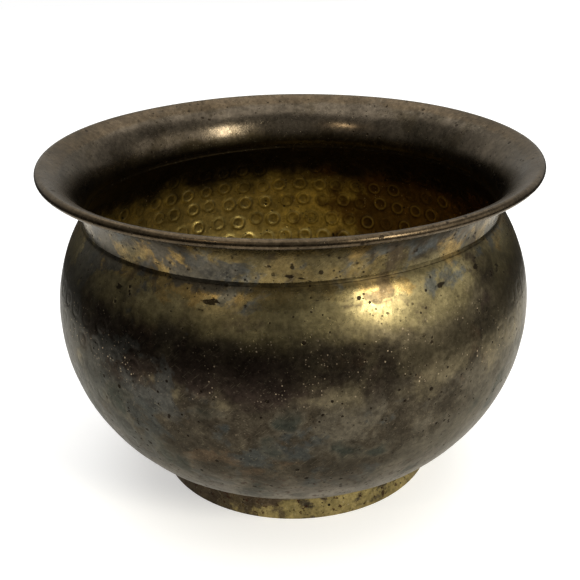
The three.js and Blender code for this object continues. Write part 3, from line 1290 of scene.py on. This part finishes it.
@dataclass
class Joinery:
    """The rings that finish the pot: the wire in the rolled edge, two braze seams and the foot."""

    gap: float = 0.3 * MM
    strip: float = 1.5 * MM
    bevel: float = 0.45 * MM
    lean: float = 1.5 * MM
    seam_leg: float = 2.2 * MM
    neck_setback: float = 0.6 * MM
    sheet: float = 1.0 * MM
    hairline: float = 0.04 * MM
    lap: float = 1.0 * MM
    lap_slope: float = 0.05 * MM
    lap_width: float = 0.75 * MM
    wire_sides: int = 16
    wire_columns: int = 360
    neck_columns: int = 720

    def wire(self) -> Ring:
        """The round wire inside the rolled edge.

        Returns:
            The ring, not yet built.
        """
        low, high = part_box("rim_wire")
        radius = (high.z - low.z) / 2
        angle = np.linspace(0, FULL_TURN, self.wire_sides, endpoint=False)
        centre_r, centre_z = high.x - radius, (low.z + high.z) / 2
        outline = np.stack([centre_r + radius * np.cos(angle), centre_z + radius * np.sin(angle)], 1)
        finish = AgedBrass("wire brass", dark=(0.10, 0.08, 0.04), middle=(0.18, 0.14, 0.07),
                           light=(0.30, 0.23, 0.10), rough=0.38)
        return Ring("rim_wire_core", "rim_wire", "wire_brass", outline, finish, self.wire_columns)

    def neck_seam(self) -> Ring:
        """The braze between bowl and collar, filed to a low crown and lapping below the mouth's edge.

        Returns:
            The ring, not yet built.
        """
        low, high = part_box("neck_braze_seam")
        outside = high.x
        inside = outside - self.neck_setback - self.sheet
        hair = self.hairline
        top, bottom = high.z + self.gap - hair, low.z - self.gap + hair
        outline = rounded([
            (outside - hair, bottom, 0.06 * MM),
            (outside - self.neck_setback, top, 0.08 * MM),
            (inside, top, 0.06 * MM),
            (inside, low.z - self.lap, 0.10 * MM),
            (inside + self.lap_width, low.z - self.lap - self.lap_slope, 0.05 * MM),
            (inside + self.gap, bottom, 0.03 * MM),
        ], spacing=0.25 * MM)
        # Painted shade on the seam's inner face, inside the neck.
        throat_shade = Stain(colour=(0.016, 0.011, 0.005), size=0.020, start=0.10, edge=0.15,
                       strength=0.97, rough=0.45, seed=2.97, face=Face.INSIDE)
        finish = AgedBrass("neck braze", stains=(BRONZE, *NECK_PATCHES, SIDE_FILM, throat_shade))
        return Ring("neck_seam", "neck_braze_seam", "braze", outline, finish, self.neck_columns,
                    inner_limit=inside + self.sheet / 2, creased=True)

    def foot(self) -> Ring:
        """The foot ring, with its floor edge rounded by wear.

        Returns:
            The ring, not yet built.
        """
        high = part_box("foot_ring")[1]
        top_outer = high.x - self.lean
        outline = rounded([
            (high.x, 0.0, 0.4 * MM),
            (top_outer, high.z, 0.15 * MM),
            (top_outer - self.strip, high.z - self.bevel, 0.15 * MM),
            (high.x - self.strip, 0.0, 0.3 * MM),
        ])
        gold = Stain(colour=(0.230, 0.180, 0.070), size=0.030, start=0.48, edge=0.05, strength=0.88,
                     rough=0.30, seed=0.87, lean=(1.2, -0.6, 0.0))
        brass = Stain(colour=(0.120, 0.092, 0.045), size=0.026, start=0.40, edge=0.14,
                      strength=0.80, rough=0.32, seed=1.21)
        umber = Stain(colour=(0.050, 0.036, 0.022), size=0.034, start=0.405, edge=0.06,
                      strength=0.88, rough=0.36, seed=2.40, lean=(-3.2, 0.8, 0.0))
        finish = AgedBrass("foot brass", stains=(brass, RUST_FILM, gold, umber, RED_SPECKS), pits=1.0)
        hand = HandWork(depth=0.15 * MM, seed=41, waves=4, first=3, rise=60.0)
        return Ring("foot", "foot_ring", "foot_brass", outline, finish, hand=hand)

    def foot_seam(self) -> Ring:
        """The fillet of braze between the foot and the bowl, a little lumpy.

        Returns:
            The ring, not yet built.
        """
        low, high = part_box("foot_braze_seam")
        corner = high.x - self.seam_leg
        toe_lean = self.lean * self.seam_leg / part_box("foot_ring")[1].z
        outline = rounded([
            (corner + toe_lean, low.z, 0.08 * MM),
            (high.x - 0.1 * MM, high.z - 0.05 * MM, 0.06 * MM),
            (corner, low.z + self.seam_leg, 0.10 * MM),
        ], spacing=0.3 * MM)
        finish = AgedBrass("foot braze", rough=0.42, stains=(RUST_FILM,))
        hand = HandWork(depth=0.12 * MM, seed=51, waves=6, first=11, rise=200.0)
        return Ring("foot_seam", "foot_braze_seam", "braze", outline, finish, hand=hand)

    def build(self) -> list[bpy.types.Object]:
        """Builds all four rings."""
        rings = (self.wire(), self.neck_seam(), self.foot(), self.foot_seam())
        return [ring.build() for ring in rings]


# --- The studio


@dataclass(frozen=True)
class Softbox:
    """A soft rectangular light that faces the pot."""

    name: str
    azimuth: float
    elevation: float
    distance: float
    width: float
    height: float
    glow: float
    colour: Colour

    def build(self, target: Vector) -> bpy.types.Object:
        """Makes the light.

        Args:
            target: The point that it faces.

        Returns:
            The light.
        """
        lamp = bpy.data.lights.new(self.name, "AREA")
        lamp.shape = "RECTANGLE"
        lamp.size, lamp.size_y = self.width, self.height
        lamp.energy = self.glow * math.pi * self.width * self.height
        lamp.color = self.colour
        light = bpy.data.objects.new(self.name, lamp)
        bpy.context.scene.collection.objects.link(light)
        round_, up = math.radians(self.azimuth), math.radians(self.elevation)
        away = Vector((math.sin(round_) * math.cos(up), -math.cos(round_) * math.cos(up), math.sin(up)))
        light.location = target + away * self.distance
        light.rotation_euler = (-away).to_track_quat("-Z", "Y").to_euler()
        return light


@dataclass
class Studio:
    """Camera, floor, soft lights and surroundings.

    room is what reflections see at each share of the way up, and back_glow adds light behind the
    pot: where it starts and is full, and how bright it is at both.
    """

    camera_reach: float = 0.5229
    camera_rise: float = math.radians(24.35)
    aim_height: float = 94.5 * MM
    pan: float = -0.0033
    roll: float = 0.0264
    lens: float = 59.84
    sensor: float = 36.0
    nearest: float = 0.01
    floor_side: float = 3.6
    floor_colour: Colour = (0.80, 0.80, 0.79)
    floor_rough: float = 0.75
    floor_glow: float = 0.45
    table_radius: float = 0.40
    surround_sides: int = 96
    surround_reach: float = 10.8
    surround_lift: float = 0.5 * MM
    surround_colour: Colour = (0.05, 0.048, 0.045)
    dull: float = 0.1
    room: tuple[tuple[float, Colour], ...] = (
        (0.0, (0.03, 0.03, 0.03)), (0.10, (0.04, 0.038, 0.035)), (0.25, (0.26, 0.255, 0.24)),
        (0.60, (0.40, 0.40, 0.39)), (1.0, (0.45, 0.45, 0.45)),
    )
    back_glow: tuple[float, float, float, float] = (0.15, 0.75, 0.0, 0.55)
    softboxes: tuple[Softbox, ...] = (
        Softbox("window", azimuth=41, elevation=28, distance=1.15, width=0.19, height=0.40,
                glow=31.0, colour=(1.0, 0.95, 0.82)),
        Softbox("lamp", azimuth=-36, elevation=36, distance=1.30, width=0.08, height=0.08,
                glow=45.0, colour=(1.0, 0.82, 0.58)),
        Softbox("wall", azimuth=70, elevation=15, distance=1.80, width=1.95, height=1.10, glow=1.08,
                colour=(1.0, 0.98, 0.94)),
        Softbox("ceiling", azimuth=180, elevation=80, distance=1.60, width=2.20, height=2.20,
                glow=1.5, colour=(1.0, 1.0, 1.0)),
    )

    def camera(self) -> None:
        """Places the camera."""
        data = bpy.data.cameras.new("camera")
        data.lens = self.lens
        data.sensor_width = self.sensor
        data.clip_start = self.nearest
        camera = bpy.data.objects.new("camera", data)
        bpy.context.scene.collection.objects.link(camera)
        rise, pan, roll = self.camera_rise, self.pan, self.roll
        level = math.cos(rise)
        ahead = Vector((math.sin(pan) * level, math.cos(pan) * level, -math.sin(rise)))
        right = Vector((math.cos(pan), -math.sin(pan), 0))
        up = right.cross(ahead)
        side = right * math.cos(roll) - up * math.sin(roll)
        top = right * math.sin(roll) + up * math.cos(roll)
        turn = Matrix((side, top, -ahead)).transposed().to_4x4()
        height = self.aim_height + self.camera_reach * math.sin(rise)
        place = Vector((0, -self.camera_reach * level, height))
        camera.matrix_world = Matrix.Translation(place) @ turn
        bpy.context.scene.camera = camera

    def floor(self) -> None:
        """Lays the pale floor, and the dark surround that only reflections see beyond the table."""
        half = self.floor_side / 2
        corners = [(-half, -half, 0.0), (half, -half, 0.0), (half, half, 0.0), (-half, half, 0.0)]
        finish = self._matt("floor", self.floor_colour, self.floor_rough)
        shader = finish.node_tree.nodes["Principled BSDF"]
        shader.inputs["Emission Color"].default_value = (1.0, 1.0, 1.0, 1.0)
        shader.inputs["Emission Strength"].default_value = self.floor_glow
        self._sheet("floor", corners, [(0, 1, 2, 3)], finish)
        sides = self.surround_sides
        turn = np.linspace(0, FULL_TURN, sides, endpoint=False)
        circle = np.stack([np.cos(turn), np.sin(turn)], 1)
        points = np.concatenate([circle * self.table_radius, circle * self.surround_reach])
        points = np.concatenate([points, np.full((len(points), 1), self.surround_lift)], 1)
        faces = [(k, k + sides, (k + 1) % sides + sides, (k + 1) % sides) for k in range(sides)]
        finish = self._matt("surround", self.surround_colour, 1.0)
        surround = self._sheet("surround", points.tolist(), faces, finish)
        surround.visible_camera = False
        surround.visible_diffuse = False
        surround.visible_shadow = False

    def _sheet(self, name: str, points: list[tuple[float, ...]], faces: list[tuple[int, ...]],
               finish: bpy.types.Material) -> bpy.types.Object:
        """A flat sheet that belongs to the studio.

        Args:
            name: Its name.
            points: Its corners.
            faces: The point numbers of each face.
            finish: Its material.

        Returns:
            The sheet.
        """
        mesh = bpy.data.meshes.new(name)
        mesh.from_pydata(points, [], faces)
        mesh.materials.append(finish)
        sheet = bpy.data.objects.new(name, mesh)
        bpy.context.scene.collection.objects.link(sheet)
        return sheet

    def _matt(self, name: str, colour: Colour, rough: float) -> bpy.types.Material:
        """A plain matt material.

        Args:
            name: Its name.
            colour: Its colour.
            rough: Its roughness.

        Returns:
            The material.
        """
        material = bpy.data.materials.new(name)
        material.use_nodes = True
        shader = material.node_tree.nodes["Principled BSDF"]
        shader.inputs["Base Color"].default_value = (*colour, 1.0)
        shader.inputs["Roughness"].default_value = rough
        shader.inputs["Specular IOR Level"].default_value = self.dull
        return material

    def surroundings(self) -> None:
        """Sets a white background, with a dim room for light and reflections."""
        world = bpy.data.worlds.new("room")
        bpy.context.scene.world = world
        world.use_nodes = True
        nodes, links = world.node_tree.nodes, world.node_tree.links
        nodes.clear()
        output, mix, seen, room, path, sky, split, ramp, back, add = (
            nodes.new("ShaderNode" + kind) for kind in (
                "OutputWorld", "MixShader", "Background", "Background", "LightPath", "TexCoord",
                "SeparateXYZ", "ValToRGB", "MapRange", "Mix"))
        seen.inputs[0].default_value = (1.0, 1.0, 1.0, 1)
        links.new(sky.outputs["Generated"], split.inputs[0])
        while len(ramp.color_ramp.elements) < len(self.room):
            ramp.color_ramp.elements.new(0.5)
        for element, (where, colour) in zip(ramp.color_ramp.elements, self.room):
            element.position = where
            element.color = (*colour, 1)
        links.new(split.outputs["Z"], ramp.inputs[0])
        back.interpolation_type = "SMOOTHSTEP"
        for socket, number in zip(back.inputs[1:5], self.back_glow):
            socket.default_value = number
        links.new(split.outputs["Y"], back.inputs[0])
        add.data_type = "RGBA"
        add.blend_type = "ADD"
        add.inputs[0].default_value = 1.0
        links.new(ramp.outputs[0], add.inputs[6])
        links.new(back.outputs[0], add.inputs[7])
        links.new(add.outputs[2], room.inputs[0])
        links.new(path.outputs["Is Camera Ray"], mix.inputs[0])
        links.new(room.outputs[0], mix.inputs[1])
        links.new(seen.outputs[0], mix.inputs[2])
        links.new(mix.outputs[0], output.inputs[0])

    def build(self) -> None:
        """Sets up everything round the pot."""
        self.camera()
        self.floor()
        self.surroundings()
        target = Vector((0, 0, self.aim_height))
        for softbox in self.softboxes:
            softbox.build(target)
        bpy.context.scene.view_settings.view_transform = "Standard"


def main() -> None:
    """Builds the studio and the pot's pieces in order."""
    logging.basicConfig(level=logging.INFO, format="%(name)s: %(message)s")
    Studio().build()
    log.info("studio ready")
    bowl = Bowl()
    pieces = [bowl.build(), NeckCollar(bowl.mouth_radius).build(), *Joinery().build()]
    for piece in pieces:
        mesh = piece.data
        log.info("%s: %d points, %d faces", piece.name, len(mesh.vertices), len(mesh.polygons))


if __name__ == "__main__":
    main()
